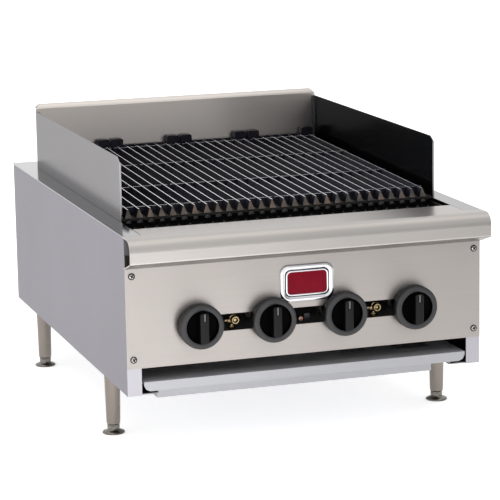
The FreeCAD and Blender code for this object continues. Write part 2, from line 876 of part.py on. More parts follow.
def make_gas_valves():
    """Brass valves that stand on the manifold, with an orifice spud at the back."""
    for number, column in enumerate(CONTROL_COLUMNS, start=1):
        block = box((f"{column} - valve_half", f"{column} + valve_half"), ("valve_front", "valve_back"),
                    ("control_height - valve_half", "control_height + valve_half"))
        bush = rod("y", (column, "bush_front", "control_height"), "valve_front - bush_front", "bush_radius")
        nipple = rod("z", (column, "manifold_depth", "nipple_end"), "control_height - nipple_end",
                     "nipple_radius")
        spud = rod("y", (column, "valve_back", "control_height"), "spud_end - valve_back", "spud_radius")
        orifice = rod("y", (column, "spud_end", "control_height"), "orifice_end - spud_end",
                      "orifice_radius")
        bore = rod("y", (column, "0", "control_height"), "stem_back + stem_clearance",
                   "stem_radius + stem_clearance")
        keep(f"gas_valve_{number}", remove(join(block, bush, nipple, spud, orifice), bore))


def make_pilots():
    """Two pilot valves between the pairs of knobs, their tubes and their burners."""
    valves = []
    tubes = []
    burners = []
    for column in PILOT_COLUMNS:
        block = box((f"{column} - pilot_half", f"{column} + pilot_half"), ("pilot_front", "pilot_back"),
                    ("pilot_low", "pilot_high"))
        nipple = rod("z", (column, "manifold_depth", "nipple_end"), "pilot_low - nipple_end + gauge",
                     "pilot_nipple_radius")
        screw = rod("y", (column, "pilot_front - 2 * gauge", "control_height"), "4 * gauge", "3 * gauge")
        valves.append(join(block, nipple, screw))
        tubes.append(rod("y", (column, "pilot_back", "pilot_tube_height"), "pilot_tube_end - pilot_back",
                         "pilot_tube_radius"))
        burners.append(rod("z", (column, "pilot_tube_end + pilot_burner_radius", "pilot_burner_low"),
                           "pilot_burner_high - pilot_burner_low", "pilot_burner_radius"))
    keep("pilot_valves", group(*valves))
    keep("pilot_tubes", group(*tubes))
    keep("pilot_burners", group(*burners))


def make_knobs():
    """A dished knob with an upright grip on each valve, and the stem that it turns."""
    for number, column in enumerate(CONTROL_COLUMNS, start=1):
        body = new_body()
        revolve(body, [
            ("0", "0"),
            ("knob_back_radius", "0"),
            ("knob_radius", "skirt_taper"),
            ("knob_radius", "knob_side"),
            ("face_outer", "knob_face"),
            ("face_inner", "knob_face"),
            ("dish_radius", "dish_floor"),
            ("0", "dish_floor"),
        ])
        pad(body, "XY_Plane", ("dish_floor - gauge", "grip_front"),
            [rectangle(("-grip_half", "grip_half"), ("-grip_reach", "grip_reach"))])
        bore = pocket(body, "XY_Plane", "0", "bore_depth", circles=[(("0", "0"), "stem_radius")])
        bore.Reversed = True
        keep(f"knob_{number}", body, x=column, y="-knob_stand", z="control_height", turn=FORWARDS)
        stem = new_body()
        revolve(stem, [("0", "-stem_back"), ("stem_radius", "-stem_back"),
                       ("stem_radius", "stem_front"), ("0", "stem_front")])
        keep(f"valve_stem_{number}", stem, x=column, z="control_height", turn=FORWARDS)


# ---------------------------------------------------------------- grease tray, legs and feet

def make_runners():
    """Channels along both sides that carry the legs below and the tray's rim on top."""
    length = ("runner_margin", "body_depth - 2 * runner_margin")
    for side, name in ((-1, "left_runner_channel"), (1, "right_runner_channel")):
        foot = box(mirrored(("runner_inner", f"{INNER_HALF}"), side), length, ("0", "runner_gauge"))
        web = box(mirrored(("runner_inner", "runner_inner + runner_gauge"), side), length,
                  ("0", "runner_height"))
        shelf = box(mirrored(("runner_inner", "runner_flange"), side), length,
                    ("runner_height - runner_gauge", "runner_height"))
        keep(name, join(foot, web, shelf))


def make_grease_tray():
    """A deep pan with a rim that slides on the runners and a hem that is its handle."""
    body = new_body()
    pan_top = "tray_rim - gauge"
    pad(body, "XY_Plane", ("pan_bottom", pan_top),
        [rectangle(("-pan_half", "pan_half"), ("pan_front", "pan_back"))])
    pad(body, "XY_Plane", (pan_top, "tray_rim"),
        [rectangle(("-rim_half", "rim_half"), ("0", "pan_back"))])
    hem = [
        ("-rim_half", "tray_rim"),
        ("-rim_half", "hem_bottom + hem_corner"),
        ("-rim_half + hem_corner / 3", "hem_bottom + hem_corner / 3"),
        ("-rim_half + hem_corner", "hem_bottom"),
        ("rim_half - hem_corner", "hem_bottom"),
        ("rim_half - hem_corner / 3", "hem_bottom + hem_corner / 3"),
        ("rim_half", "hem_bottom + hem_corner"),
        ("rim_half", "tray_rim"),
    ]
    pad(body, "XZ_Plane", (PANEL_FACE, "0"), [hem])
    inside = rectangle(("gauge - pan_half", "pan_half - gauge"), ("pan_front + gauge", "pan_back - gauge"))
    pocket(body, "XY_Plane", "tray_rim + gauge", "tray_rim - pan_bottom", loops=[inside])
    keep("grease_tray", body)


def make_legs():
    """Tapered legs, each with a levelling foot that screws down from its bore."""
    columns = (("left", "-leg_column"), ("right", "leg_column"))
    rows = (("front", "body_depth / 2 - leg_row"), ("rear", "body_depth / 2 + leg_row"))
    for row_name, row in rows:
        for column_name, column in columns:
            make_leg(f"{row_name}_{column_name}", column, row)


def make_leg(corner, column, row):
    """One leg and its levelling foot, both turned about the leg's own axis."""
    bore = "foot_stem_radius + foot_clearance"
    leg = new_body()
    revolve(leg, [
        (bore, "leg_lower_end"),
        ("leg_foot_radius", "leg_lower_end"),
        ("leg_top_radius", "leg_height"),
        ("0", "leg_height"),
        ("0", "leg_lower_end + leg_bore_depth"),
        (bore, "leg_lower_end + leg_bore_depth"),
    ])
    keep(f"{corner}_leg", leg, x=column, y=row, z="-leg_height")
    foot = new_body()
    revolve(foot, [
        ("0", "0"),
        ("foot_radius", "0"),
        ("foot_radius", "foot_rim"),
        ("foot_neck_radius", "foot_neck"),
        ("foot_neck_radius", "foot_top"),
        ("foot_stem_radius", "foot_top"),
        ("foot_stem_radius", "foot_stem_top"),
        ("0", "foot_stem_top"),
    ])
    keep(f"{corner}_foot", foot, x=column, y=row, z="-leg_height")


# ---------------------------------------------------------------- checks and export

def check_model():
    """Stop if any object failed or any sub-part has no sound shape."""
    doc.recompute()
    for item in doc.Objects:
        if "Invalid" in item.State or "Error" in item.State:
            raise RuntimeError(f"{item.Name} ({item.Label}) failed: {item.State}")
    for item in sub_parts:
        if item.Shape.isNull() or not item.Shape.isValid() or item.Shape.Volume <= 0:
            raise RuntimeError(f"{item.Label} has no sound shape")


def write_parts():
    """Write one STEP file for each sub-part."""
    os.makedirs("parts", exist_ok=True)
    for item in sub_parts:
        item.Shape.exportStep(os.path.join("parts", f"{item.Label}.step"))
        solids = len(item.Shape.Solids)
        print(f"{item.Label}: {solids} solid(s), {item.Shape.Volume / 1000:.1f} cm3")
    print(f"{len(sub_parts)} sub-parts")


make_sheet()
make_side_panels()
make_rear_panel()
make_control_panel()
make_panel_screws()
make_badge()
make_bullnose()
make_deck()
make_splash_guards()
make_firebox()
make_front_grate_rest()
make_grates()
make_radiants()
make_burners()
make_air_shutters()
make_manifold()
make_supply_pipe()
make_gas_valves()
make_pilots()
make_knobs()
make_runners()
make_grease_tray()
make_legs()
check_model()
write_parts()
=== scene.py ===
import math

import bmesh
import bpy
from mathutils import Matrix, Vector


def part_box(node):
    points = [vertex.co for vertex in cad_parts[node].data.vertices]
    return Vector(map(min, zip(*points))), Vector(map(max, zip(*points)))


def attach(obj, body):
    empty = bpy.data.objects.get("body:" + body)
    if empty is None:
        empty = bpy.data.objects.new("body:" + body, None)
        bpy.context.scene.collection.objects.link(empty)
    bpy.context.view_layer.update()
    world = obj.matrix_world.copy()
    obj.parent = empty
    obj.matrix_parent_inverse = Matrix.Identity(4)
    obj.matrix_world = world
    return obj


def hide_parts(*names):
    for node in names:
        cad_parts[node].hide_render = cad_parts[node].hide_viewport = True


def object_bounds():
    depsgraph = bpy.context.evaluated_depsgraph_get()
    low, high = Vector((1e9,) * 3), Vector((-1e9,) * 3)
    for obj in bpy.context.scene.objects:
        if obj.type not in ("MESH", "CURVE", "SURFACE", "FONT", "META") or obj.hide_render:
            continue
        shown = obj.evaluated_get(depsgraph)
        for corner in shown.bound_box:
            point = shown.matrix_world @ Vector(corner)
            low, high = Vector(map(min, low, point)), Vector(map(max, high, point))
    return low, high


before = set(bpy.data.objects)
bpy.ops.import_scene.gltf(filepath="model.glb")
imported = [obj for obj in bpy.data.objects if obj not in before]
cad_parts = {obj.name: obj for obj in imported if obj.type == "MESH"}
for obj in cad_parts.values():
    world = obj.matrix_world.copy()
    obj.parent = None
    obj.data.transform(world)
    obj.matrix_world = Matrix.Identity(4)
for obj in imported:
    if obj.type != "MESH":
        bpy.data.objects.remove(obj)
cad_low, cad_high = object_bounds()

# Looks of a countertop gas charbroiler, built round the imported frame, which is in metres.
# Sizes of the detailed pieces are written in millimetres and go through mm() or MM.

MM = 0.001

# camera: its aim is measured from the middle of the CAD box. Metres and degrees, and
# millimetres for the lens.
AIM_OFFSET = Vector((-0.007, -0.127, 0.026))
CAMERA_AZIMUTH = -17.99
CAMERA_ELEVATION = 11.27
CAMERA_ROLL = -0.99
CAMERA_DISTANCE = 4.0
CAMERA_LENS = 166.2

X_AXIS = Vector((1, 0, 0))
Y_AXIS = Vector((0, 1, 0))
Z_AXIS = Vector((0, 0, 1))
GRAIN_TILT = Vector((0.02, 0.013, 0.031))

# grate sections, radiants and knobs are numbered from the left
NUMBERS = range(1, 5)

# studio: how far the floor glows, and a soft light on the floor in front, left of the middle
FLOOR_HALF = 25
FLOOR_GLOW = 0.55
POOL_PLACE = (-0.4, -1.3, 1.7)
POOL_TARGET = (-0.4, -1.3, 0)
POOL_SIZE = (0.6, 0.6)
POOL_POWER = 6.5
POOL_SPREAD = 58

# edges: those sharper than an angle in degrees stay sharp in shading, and the widths of
# the roundings are in millimetres
SHARP_ANGLE = 35
BADGE_SHARP_ANGLE = 50
ROUNDED_ANGLE = 40
SHEET_ROUNDING = 0.35
VALVE_ROUNDING = 0.25
CLIP_ROUNDING = 0.2
WELD_DISTANCE = 0.00001

# relief of the finishes, in metres
GRAIN_RELIEF = 0.000002
METAL_RELIEF = 0.00004
PLASTIC_RELIEF = 0.00002

# the side guards get soot and painted shade on their faces nearer to the middle than this, in metres
SOOT_SHADE_LIMIT = 0.27525
SOOT_SHADE_EDGE = 0.0002
SOOT_SHADE_COLOUR = (0.075, 0.078, 0.085)

# cast grates: the bars, the ribs across them and the upright lugs at the rear corners,
# in millimetres and degrees
GRATE_SLOPE = 1.55
GRATE_BARS = 7
BAR_PITCH = 19
BAR_HEIGHT = 14
BAR_LENGTH = 594
BAR_FOOT = 5.5
BAR_GROUND = 0.75
GROUND_END = 572
FRONT_LEAN = 4.7
RIB_PLACES = (28, 193, 388, 568)
RIB_HALF_GAUGE = 2
RIB_FOOT = 4.7
SECTION_HALF = 65
LUG_WIDTH = 22
LUG_TOP = 27
LUG_DEPTH = 14

# lugs on the front grate rest: a large one under each bar and a small one between bars,
# with the turned outline as (radius, height) in millimetres
REST_LUG_OUTLINE = ((6.4, -0.5), (6.4, 2.2), (5.9, 3.9), (4.6, 5.3), (2.6, 6.2), (0, 6.5))
REST_LUG_SIZES = (1, 0.84, 0.94)
REST_LUG_DROP = 8.3
SMALL_LUG_DROP = 18
SMALL_LUG_WIDTH = 0.62
SMALL_LUG_HEIGHT = 0.7

# screws: the CAD head, the detailed head with its rim painted dark as shade, and how far round each is turned
SCREW_RADIUS = 4.8
SCREW_RIM = 5.7
SCREW_FIRST_TURN = 25
SCREW_TURN_STEP = 40

# pilot valves: their middle, in from the node's sides and down from its top
VALVE_INSET = 11
VALVE_DROP = 10

# the clip and the tube's end, from the middle of the manifold's underside
CLIP_X = 7
TUBE_PLACE = (-6, -1, 49)

# knobs, in millimetres: the turned outline as (radius, height), where its side, painted darker as
# shade, ends and where its dish, painted near black as shade, starts, and the grip with its pointer
KNOB_SEGMENTS = 96
KNOB_OUTLINE = ((0, 0), (32.4, 0), (33.3, 0.5), (36.1, 3.5), (36.5, 4.5), (36.5, 15.8), (36.2, 17.4),
                (35.4, 18.8), (34.1, 19.7), (32.5, 20), (28.6, 20), (27.6, 19.7), (27, 18.9),
                (26.2, 12), (25.7, 11.3), (24.9, 11), (0, 11))
KNOB_SHADED_SIDE_BANDS = 5
KNOB_SHADED_DISH_FROM = 12
GRIP_HALF = 7.6
GRIP_REACH = 25.5
GRIP_FRONT = 32
GRIP_CORNER = 4.6
POINTER_HALF = 1.3
POINTER_START = 12


# ---------------------------------------------------------------- material nodes

def new_material(name, colour, metallic, roughness):
    """A material with a principled shader and even values on its sockets."""
    material = bpy.data.materials.new(name)
    material.use_nodes = True
    tree = material.node_tree
    shader = tree.nodes["Principled BSDF"]
    shader.inputs["Base Color"].default_value = (*colour, 1)
    shader.inputs["Metallic"].default_value = metallic
    shader.inputs["Roughness"].default_value = roughness
    return material, tree, shader


def own_place(tree):
    """Where a point is, in the piece's own coordinates."""
    return tree.nodes.new("ShaderNodeTexCoord").outputs["Object"]


def parts_of(tree, source):
    """The X, Y and Z sockets of a vector."""
    split = tree.nodes.new("ShaderNodeSeparateXYZ")
    tree.links.new(source, split.inputs["Vector"])
    return split.outputs


def size_of(tree, source):
    """A value without its sign."""
    node = tree.nodes.new("ShaderNodeMath")
    node.operation = "ABSOLUTE"
    tree.links.new(source, node.inputs[0])
    return node.outputs["Value"]


def noise(tree, scale, detail, stretch=(1, 1, 1)):
    """Noise in the piece's own coordinates, with a scale along each axis."""
    mapping = tree.nodes.new("ShaderNodeMapping")
    mapping.inputs["Scale"].default_value = stretch
    texture = tree.nodes.new("ShaderNodeTexNoise")
    texture.inputs["Scale"].default_value = scale
    texture.inputs["Detail"].default_value = detail
    tree.links.new(own_place(tree), mapping.inputs["Vector"])
    tree.links.new(mapping.outputs["Vector"], texture.inputs["Vector"])
    return texture.outputs["Fac"]


def spread(tree, source, low, high, start=0.3, end=0.7):
    """A value from low to high as the source goes from start to end."""
    node = tree.nodes.new("ShaderNodeMapRange")
    node.inputs["From Min"].default_value = start
    node.inputs["From Max"].default_value = end
    node.inputs["To Min"].default_value = low
    node.inputs["To Max"].default_value = high
    tree.links.new(source, node.inputs["Value"])
    return node.outputs["Result"]


def blend_colours(tree, source, first, second):
    """A colour between two, by the source from 0 to 1. Either may be a socket."""
    node = tree.nodes.new("ShaderNodeMix")
    node.data_type = "RGBA"
    tree.links.new(source, node.inputs["Factor"])
    for socket, value in ((node.inputs[6], first), (node.inputs[7], second)):
        if isinstance(value, bpy.types.NodeSocket):
            tree.links.new(value, socket)
        else:
            socket.default_value = (*value, 1)
    return node.outputs[2]


def repaint(material, source, colour):
    """Blend a colour over a material's own base colour, by the source from 0 to 1."""
    tree = material.node_tree
    base = tree.nodes["Principled BSDF"].inputs["Base Color"]
    clean = base.links[0].from_socket
    tree.links.new(blend_colours(tree, source, clean, colour), base)


def bump(tree, shader, source, depth, strength):
    """Relief of a depth in metres on the whole shader."""
    node = tree.nodes.new("ShaderNodeBump")
    node.inputs["Strength"].default_value = strength
    node.inputs["Distance"].default_value = depth
    tree.links.new(source, node.inputs["Height"])
    tree.links.new(node.outputs["Normal"], shader.inputs["Normal"])


def grain_tangent(tree, shader, grain):
    """Stretch highlights across the grain, in the plane of the surface."""
    geometry = tree.nodes.new("ShaderNodeNewGeometry")
    cross = tree.nodes.new("ShaderNodeVectorMath")
    cross.operation = "CROSS_PRODUCT"
    # the tilt keeps the product away from zero on faces square to the grain
    cross.inputs[1].default_value = grain + GRAIN_TILT
    tree.links.new(geometry.outputs["Normal"], cross.inputs[0])
    tree.links.new(cross.outputs["Vector"], shader.inputs["Tangent"])


def brushed_metal(name, colour, grain, rough, anisotropy, streak=0.02, cloud=0.06, rim=1.0):
    """Sheet metal with a fine brushed grain along one axis. A rim under 1 dims grazing reflections."""
    material, tree, shader = new_material(name, colour, 1.0, rough)
    shader.inputs["Specular Tint"].default_value = (rim, rim, rim, 1)
    shader.inputs["Anisotropic"].default_value = anisotropy
    grain_tangent(tree, shader, grain)
    fine = noise(tree, 1.0, 2, [1600 - 1590 * abs(part) for part in grain])
    lines = noise(tree, 1.0, 3, [420 - 416 * abs(part) for part in grain])
    patches = noise(tree, 4.5, 2)
    darker = [part * (1 - 2 * streak) for part in colour]
    lighter = [min(1, part * (1 + streak)) for part in colour]
    shaded = [part * (1 - cloud) for part in colour]
    streaks = blend_colours(tree, spread(tree, fine, 0, 1), darker, lighter)
    clouded = blend_colours(tree, spread(tree, patches, 0, 1), streaks, shaded)
    tree.links.new(clouded, shader.inputs["Base Color"])
    tree.links.new(spread(tree, lines, rough - 0.015, rough + 0.02), shader.inputs["Roughness"])
    bump(tree, shader, fine, GRAIN_RELIEF, 0.3)
    return material


def facing(tree, axis):
    """How far the surface faces along an axis, either way, from 0 to 1."""
    geometry = tree.nodes.new("ShaderNodeNewGeometry")
    return size_of(tree, parts_of(tree, geometry.outputs["True Normal"])[axis])


def soot_and_shade_inside(material, limit, colour):
    """Blacken the faces that look sideways, nearer to the middle than a limit, as soot and painted shade."""
    tree = material.node_tree
    sideways = size_of(tree, parts_of(tree, own_place(tree))["X"])
    both = tree.nodes.new("ShaderNodeMath")
    both.operation = "MULTIPLY"
    tree.links.new(spread(tree, sideways, 1, 0, limit - SOOT_SHADE_EDGE, limit + SOOT_SHADE_EDGE), both.inputs[0])
    tree.links.new(spread(tree, facing(tree, "X"), 0, 1, 0.4, 0.6), both.inputs[1])
    repaint(material, both.outputs["Value"], colour)
    return material


def paint_shade_below(material, colour):
    """Paint the faces that look down darker, as painted shade."""
    tree = material.node_tree
    geometry = tree.nodes.new("ShaderNodeNewGeometry")
    upward = parts_of(tree, geometry.outputs["Normal"])["Z"]
    repaint(material, spread(tree, upward, 1, 0, -0.8, -0.4), colour)
    return material


def dull_on_top(material, metallic):
    """Make the faces that look up dull, as pressed sheet inside a pan is."""
    tree = material.node_tree
    shader = tree.nodes["Principled BSDF"]
    tree.links.new(spread(tree, facing(tree, "Z"), 1, metallic, 0.4, 0.6), shader.inputs["Metallic"])
    return material


def cast_metal(name, colour, worn, roughness, metallic=0.3, depth=0.0003, tint=(1, 1, 1)):
    """Sand-cast iron: pitted, dark, lighter where the noise says it is worn."""
    material, tree, shader = new_material(name, colour, metallic, roughness)
    shader.inputs["Specular Tint"].default_value = (*tint, 1)
    pits = noise(tree, 900, 4)
    patches = noise(tree, 26, 4)
    tree.links.new(blend_colours(tree, spread(tree, patches, 0, 1, 0.42, 0.7), colour, worn),
                   shader.inputs["Base Color"])
    tree.links.new(spread(tree, pits, roughness - 0.08, roughness + 0.12), shader.inputs["Roughness"])
    bump(tree, shader, pits, depth, 0.5)
    return material


def worn_metal(name, colour, rough, scale, shade=0.12, metallic=1.0):
    """Plain metal with soft patches of tone and gloss."""
    material, tree, shader = new_material(name, colour, metallic, rough)
    patches = noise(tree, scale, 4)
    fine = noise(tree, 1400, 2)
    darker = [part * (1 - 2 * shade) for part in colour]
    tree.links.new(blend_colours(tree, spread(tree, patches, 0, 1), darker, colour),
                   shader.inputs["Base Color"])
    tree.links.new(spread(tree, patches, rough * 0.8, rough * 1.3), shader.inputs["Roughness"])
    bump(tree, shader, fine, METAL_RELIEF, 0.4)
    return material


def moulded_plastic(name, colour, roughness, specular=0.5):
    """Moulded plastic with a fine spark-eroded texture."""
    material, tree, shader = new_material(name, colour, 0.0, roughness)
    shader.inputs["Specular IOR Level"].default_value = specular
    fine = noise(tree, 2600, 2)
    soft = noise(tree, 45, 2)
    lighter = [part * 1.25 for part in colour]
    tree.links.new(blend_colours(tree, spread(tree, soft, 0, 1), colour, lighter),
                   shader.inputs["Base Color"])
    tree.links.new(spread(tree, fine, roughness - 0.05, roughness + 0.06), shader.inputs["Roughness"])
    bump(tree, shader, fine, PLASTIC_RELIEF, 0.4)
    return material


def floor_paint():
    """A plain pale floor, lit from within a little. In front it glows less to the right."""
    material, tree, shader = new_material("studio_floor", (0.84, 0.84, 0.84), 0.0, 0.9)
    shader.inputs["Specular IOR Level"].default_value = 0.0
    shader.inputs["Emission Color"].default_value = (1, 1, 1, 1)
    place = parts_of(tree, own_place(tree))
    in_front = spread(tree, place["X"], FLOOR_GLOW, 0, 0, 0.85)
    to_object = spread(tree, place["Y"], 0, 1, -1.3, -0.9)
    glow = tree.nodes.new("ShaderNodeMix")
    tree.links.new(to_object, glow.inputs["Factor"])
    tree.links.new(in_front, glow.inputs["A"])
    glow.inputs["B"].default_value = FLOOR_GLOW
    tree.links.new(glow.outputs["Result"], shader.inputs["Emission Strength"])
    mottle = noise(tree, 1.2, 2)
    tree.links.new(blend_colours(tree, spread(tree, mottle, 0, 1), (0.83,) * 3, (0.85,) * 3),
                   shader.inputs["Base Color"])
    return material


FRONT_STEEL = brushed_metal("front_steel", (0.42, 0.391, 0.374), X_AXIS, 0.36, 0.8)
# the second colour is painted shade on the nose's faces that look down
NOSE_STEEL = paint_shade_below(brushed_metal("nose_steel", (0.455, 0.43, 0.412), X_AXIS, 0.3, 0.45),
                          (0.2, 0.19, 0.18))
SIDE_STEEL = brushed_metal("side_steel", (0.43, 0.42, 0.455), Y_AXIS, 0.42, 0.4, 0.02, 0.06, 0.39)
DECK_STEEL = brushed_metal("deck_steel", (0.36, 0.36, 0.37), Y_AXIS, 0.15, 0.3, 0.01, rim=0.85)
# the guards' faces towards the grates get soot and painted shade
GUARD_STEEL = soot_and_shade_inside(brushed_metal("guard_steel", (0.4, 0.39, 0.4), Y_AXIS, 0.22, 0.3,
                                        0.01, 0.04, 0.42), SOOT_SHADE_LIMIT, SOOT_SHADE_COLOUR)
BACK_STEEL = brushed_metal("back_steel", (0.6, 0.56, 0.53), X_AXIS, 0.29, 0.8, 0.008)
TRAY_STEEL = dull_on_top(brushed_metal("tray_steel", (0.4, 0.402, 0.425), X_AXIS, 0.4, 0.4, 0.02), 0.1)
ALUMINISED = worn_metal("aluminised_steel", (0.3, 0.3, 0.3), 0.45, 90)
SOOT_STEEL = cast_metal("sooted_steel", (0.006, 0.006, 0.006), (0.016, 0.013, 0.011), 0.5, 0.2, 0.0001)
LUG_ENAMEL = moulded_plastic("lug_enamel", (0.004, 0.004, 0.005), 0.13, 0.3)
CAST_IRON = cast_metal("cast_iron", (0.005, 0.005, 0.008), (0.012, 0.011, 0.014), 0.42, 0.2, 0.0002,
                       (0.45, 0.47, 0.62))
IRON_END = cast_metal("cast_iron_ends", (0.05, 0.047, 0.045), (0.2, 0.14, 0.11), 0.55, 0.3)
# the ground tops: bare worn metal, made near-white and diffuse as a painted highlight
GROUND_IRON_AND_HIGHLIGHT = worn_metal("ground_iron_and_highlight", (0.9, 0.9, 0.92), 0.25, 700, 0.12, 0.4)
RADIANT_IRON = cast_metal("radiant_iron", (0.012, 0.01, 0.009), (0.04, 0.026, 0.02), 0.6)
BURNER_STEEL = worn_metal("burner_steel", (0.2, 0.18, 0.16), 0.45, 40)
BRASS = worn_metal("brass", (0.46, 0.35, 0.2), 0.22, 260, 0.3)
COPPER = worn_metal("copper", (0.36, 0.22, 0.17), 0.25, 260, 0.1)
PLATED = worn_metal("plated_steel", (0.6, 0.6, 0.58), 0.28, 150)
PLATED_DARK = worn_metal("plated_dark", (0.06, 0.06, 0.07), 0.4, 150)
SCREW_STEEL = worn_metal("screw_steel", (0.5, 0.49, 0.48), 0.12, 400, 0.1)
RECESS_SHADE = worn_metal("screw_recess", (0.012, 0.012, 0.012), 0.5, 400, 0.1, 0.5)
KNOB_PLASTIC = moulded_plastic("knob_plastic", (0.022, 0.022, 0.024), 0.46, 0.42)
KNOB_DISH_SHADE = moulded_plastic("knob_gloss", (0.0012, 0.0012, 0.0014), 0.55, 0.02)
KNOB_GRIP_AND_SIDE_SHADE = moulded_plastic("knob_grip", (0.007, 0.007, 0.008), 0.42, 0.14)
POINTER = moulded_plastic("pointer_paint", (0.085, 0.085, 0.085), 0.5)
BLACK_PIPE = worn_metal("black_pipe", (0.012, 0.012, 0.013), 0.55, 50, 0.2, 0.3)
TUBE_METAL = worn_metal("tube_aluminium", (0.5, 0.5, 0.51), 0.35, 120)
CHROME = worn_metal("badge_chrome", (0.66, 0.66, 0.69), 0.07, 60, 0.02)
ENAMEL = moulded_plastic("badge_enamel", (0.15, 0.003, 0.012), 0.3, 0.06)
NICKEL = worn_metal("nickel", (0.23, 0.205, 0.183), 0.22, 30, 0.03)
FOOT_METAL = worn_metal("foot_nickel", (0.26, 0.24, 0.22), 0.2, 900, 0.3)

BY_SLOT = {
    "stainless_steel": FRONT_STEEL,
    "aluminised_steel": ALUMINISED,
    "tray_steel": TRAY_STEEL,
    "cast_iron": CAST_IRON,
    "burner_steel": BURNER_STEEL,
    "brass": BRASS,
    "plated_steel": PLATED,
    "knob_plastic": KNOB_PLASTIC,
    "black_pipe": BLACK_PIPE,
    "tube_aluminium": TUBE_METAL,
    "badge_chrome": CHROME,
    "nickel": NICKEL,
}
BY_NODE = {
    "bullnose": NOSE_STEEL,
    "left_side_panel": SIDE_STEEL,
    "right_side_panel": SIDE_STEEL,
    "rear_panel": SIDE_STEEL,
    "deck_frame": DECK_STEEL,
    "left_splash_guard": GUARD_STEEL,
    "right_splash_guard": GUARD_STEEL,
    "back_splash_guard": BACK_STEEL,
    "front_grate_rest": SOOT_STEEL,
    **{f"firebox_{side}_wall": SOOT_STEEL for side in ("left", "right", "front", "rear")},
    **{f"radiant_{number}": RADIANT_IRON for number in NUMBERS},
}
SOFT_EDGES = ("control_panel", "left_side_panel", "right_side_panel", "rear_panel", "deck_frame",
              "left_splash_guard", "right_splash_guard", "back_splash_guard", "grease_tray",
              "left_runner_channel", "right_runner_channel")


def paint_frame():
    """A procedural material for every CAD node, by name or by its record slot."""
    for name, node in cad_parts.items():
        slot_name = node.data.materials[0].name.split(".")[0]
        material = BY_NODE.get(name) or BY_SLOT[slot_name]
        for slot in node.material_slots:
            slot.material = material


# ---------------------------------------------------------------- shapes

def mm(*numbers):
    """A point in metres from numbers in millimetres."""
    return Vector(numbers) * MM


def loft(shape, loops, material=0):
    """Faces between loops of points and over both ends, in one material or one for each band."""
    materials = material if isinstance(material, list) else [material] * (len(loops) - 1)
    rows = [[shape.verts.new(point) for point in loop] for loop in loops]
    for number, (lower, upper) in enumerate(zip(rows, rows[1:])):
        count = max(len(lower), len(upper))
        for step in range(count):
            follower = (step + 1) % count
            ring = (lower[step % len(lower)], lower[follower % len(lower)],
                    upper[follower % len(upper)], upper[step % len(upper)])
            face = shape.faces.new(list(dict.fromkeys(ring)))
            face.material_index = materials[number]
    for row in (rows[0], rows[-1]):
        if len(row) > 2:
            face = shape.faces.new(row)
            face.material_index = materials[-1]


def turned(outline, centre, axis, segments=64):
    """Loops for a lathe: (radius, height) pairs in millimetres about an axis."""
    across = axis.orthogonal().normalized()
    along = axis.cross(across).normalized()
    loops = []
    for radius, height in outline:
        middle = centre + axis * height * MM
        if radius == 0:
            loops.append([middle])
            continue
        loop = []
        for step in range(segments):
            angle = 2 * math.pi * step / segments
            loop.append(middle + radius * MM * (math.cos(angle) * across + math.sin(angle) * along))
        loops.append(loop)
    return loops


def rounded_rectangle(half_width, half_height, corner, steps):
    """The (u, v) points of a rectangle with rounded corners, in millimetres."""
    points = []
    for quarter, (side, up) in enumerate(((1, 1), (-1, 1), (-1, -1), (1, -1))):
        centre = (side * (half_width - corner), up * (half_height - corner))
        for step in range(steps + 1):
            angle = math.pi / 2 * (quarter + step / steps)
            points.append((centre[0] + corner * math.cos(angle), centre[1] + corner * math.sin(angle)))
    return points


def block(shape, x_span, y_span, z_span, transform=None, material=0):
    """A closed block between spans in millimetres."""
    left, right = x_span
    bottom, top = z_span
    corners = ((left, bottom), (right, bottom), (right, top), (left, top))
    loops = [[mm(x, y, z) for x, z in corners] for y in y_span]
    if transform:
        loops = [[transform @ point for point in loop] for loop in loops]
    loft(shape, loops, material=material)


def add_object(name, data):
    """A new object in the scene."""
    thing = bpy.data.objects.new(name, data)
    bpy.context.scene.collection.objects.link(thing)
    return thing


def finish_mesh(name, shape, materials, sharp=SHARP_ANGLE):
    """An object from a shape, with its faces outwards and its sharp edges marked."""
    bmesh.ops.recalc_face_normals(shape, faces=shape.faces)
    mesh = bpy.data.meshes.new(name)
    shape.to_mesh(mesh)
    shape.free()
    for material in materials:
        mesh.materials.append(material)
    for polygon in mesh.polygons:
        polygon.use_smooth = True
    mesh.set_sharp_from_angle(angle=math.radians(sharp))
    return add_object(name, mesh)


def work_on(piece, shape, operation):
    """Join a second shape to a piece, or cut it away."""
    tool = finish_mesh("tool", shape, list(piece.data.materials))
    change = piece.modifiers.new("change", "BOOLEAN")
    change.operation = operation
    change.solver = "EXACT"
    change.object = tool
    graph = bpy.context.evaluated_depsgraph_get()
    mesh = bpy.data.meshes.new_from_object(piece.evaluated_get(graph))
    piece.modifiers.clear()
    old = piece.data
    name = old.name
    piece.data = mesh
    bpy.data.meshes.remove(old)
    mesh.name = name
    mesh.set_sharp_from_angle(angle=math.radians(SHARP_ANGLE))
    bpy.data.objects.remove(tool)


def soften(piece, width):
    """Round the sharp edges of a piece a little, by a width in millimetres."""
    bevel = piece.modifiers.new("edges", "BEVEL")
    bevel.width = width * MM
    bevel.segments = 2
    bevel.limit_method = "ANGLE"
    bevel.angle_limit = math.radians(ROUNDED_ANGLE)
    bevel.harden_normals = True


def settle(piece, body, slot, *replaced):
    """Say which body carries the piece, and the nodes that it stands for. The slot is not used."""
    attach(piece, body)
    if replaced:
        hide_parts(*replaced)


def middle_of(node):
    """The middle of a node's box."""
    low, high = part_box(node)
    return (Vector(low) + Vector(high)) / 2


# ---------------------------------------------------------------- grates

def bar_loops(centre, profile):
    """A bar's front end, which leans back, the end of its ground face, and its rear end."""
    front = [mm(centre + x, FRONT_LEAN * z / BAR_HEIGHT, z) for x, z in profile]
    return [front] + [[mm(centre + x, y, z) for x, z in profile] for y in (GROUND_END, BAR_LENGTH)]


